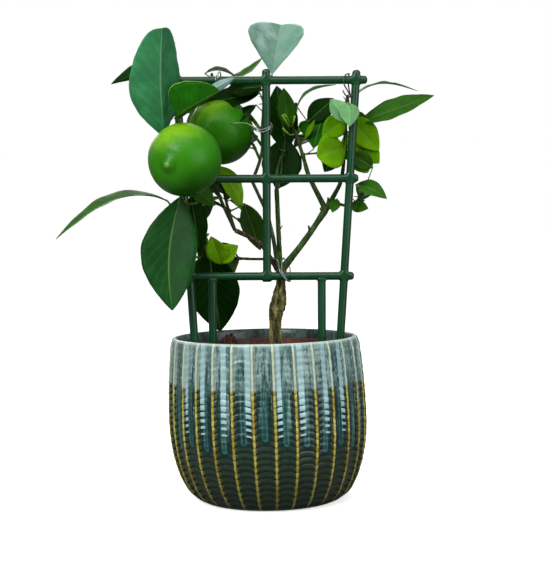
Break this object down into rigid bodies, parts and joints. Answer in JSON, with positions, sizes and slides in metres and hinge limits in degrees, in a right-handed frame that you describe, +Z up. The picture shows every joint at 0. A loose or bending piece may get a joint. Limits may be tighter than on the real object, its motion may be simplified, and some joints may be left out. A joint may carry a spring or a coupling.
{
  "type": "potted lemon tree",
  "caption": "Young lemon tree with green fruit in a ribbed, drip-glazed cover pot, its boughs tied to a small moulded trellis.",
  "frame": {"origin": "centre of the pot's flat underside", "axes": "+Z up along the pot's axis, +Y away from the side the picture shows, +X to the right in the picture"},
  "size_m": [0.2638, 0.1418, 0.3358],
  "materials": {
    "drip_glaze": "gloss",
    "nursery_plastic": "matte",
    "potting_mix": "matte",
    "bark": "matte",
    "green_bark": "satin",
    "trellis_plastic": "satin",
    "tie_wire": "satin",
    "leaf_and_fruit": "satin"
  },
  "bodies": {
    "root": {"pot": "drip_glaze", "grower_pot": "nursery_plastic", "soil": "potting_mix", "bark_chip": "bark", "trellis_post_left": "trellis_plastic", "trellis_leg_left": "trellis_plastic", "trellis_bar_low_left": "trellis_plastic", "trellis_bar_middle_left": "trellis_plastic", "trellis_bar_top_left": "trellis_plastic", "trellis_post_right": "trellis_plastic", "trellis_leg_right": "trellis_plastic", "trellis_bar_low_right": "trellis_plastic", "trellis_bar_middle_right": "trellis_plastic", "trellis_bar_top_right": "trellis_plastic", "trellis_post_centre": "trellis_plastic", "tie_top": "tie_wire", "tie_post": "tie_wire", "tie_corner": "tie_wire", "tie_low": "tie_wire", "trunk": "bark", "bough_right": "green_bark", "bough_centre": "green_bark", "bough_middle": "green_bark", "bough_left": "green_bark", "bough_right_inner": "green_bark", "bough_right_outer": "green_bark", "foliage_left": "leaf_and_fruit", "foliage_left_inner": "leaf_and_fruit", "foliage_low": "leaf_and_fruit", "foliage_top": "leaf_and_fruit", "foliage_centre": "leaf_and_fruit", "foliage_right_inner": "leaf_and_fruit", "foliage_right": "leaf_and_fruit", "foliage_right_low": "leaf_and_fruit"}
  },
  "joints": []
}
